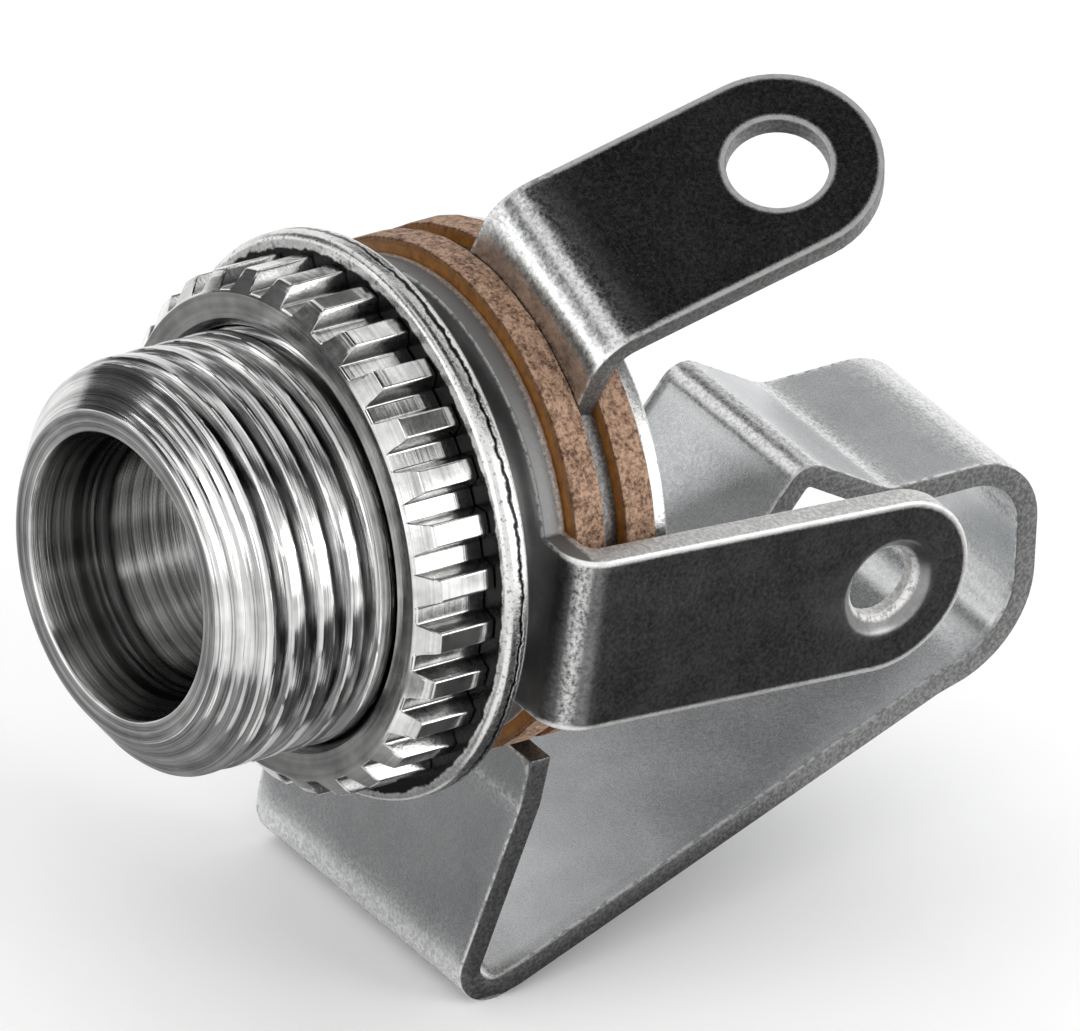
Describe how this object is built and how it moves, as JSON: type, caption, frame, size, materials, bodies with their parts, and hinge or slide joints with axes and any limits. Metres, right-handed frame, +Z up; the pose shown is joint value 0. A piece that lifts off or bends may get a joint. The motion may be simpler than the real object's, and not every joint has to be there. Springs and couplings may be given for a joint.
{
  "type": "panel mount jack socket",
  "caption": "Open-frame panel jack socket: threaded bushing with ring nut and washer, insulated folded spring contact with solder lug, and a sleeve frame with solder arm.",
  "frame": {"origin": "on the plug axis, in the plane where the panel seats against the sleeve frame", "axes": "-Y along the plug axis towards the mouth that the plug enters, +Z up towards the tip solder lug, +X towards the sleeve solder arm"},
  "size_m": [0.0083, 0.0156, 0.0134],
  "materials": {
    "bushing_nickel": "turned brass with bright nickel plating",
    "nut_nickel": "turned brass with bright nickel plating",
    "washer_steel": "stamped steel with bright nickel plating",
    "frame_nickel": "stamped sheet with satin nickel plating",
    "contact_nickel": "stamped spring sheet with satin nickel plating",
    "brown_board": "punched brown fibre board"
  },
  "bodies": {
    "socket": {"bushing": "bushing_nickel", "sleeve_frame": "frame_nickel", "front_insulator": "brown_board", "tip_contact": "contact_nickel", "insulating_collar": "brown_board", "rear_insulator": "brown_board", "rear_washer": "washer_steel"},
    "washer": {"front_washer": "washer_steel"},
    "nut": {"ring_nut": "nut_nickel"}
  },
  "joints": [
    {"name": "washer_travel", "type": "slide", "parent": "socket", "child": "washer", "axis": [0, -1, 0], "range_m": [-0.0006, 0.0033]},
    {"name": "nut_turn", "type": "hinge", "parent": "washer", "child": "nut", "pos_m": [0, -0.0017, 0], "axis": [0, -1, 0], "range_deg": [-432, 2376]}
  ],
  "couplings": [
    {"joint": "nut_turn", "follows": "washer_travel", "rad_per_m": 12566}
  ]
}
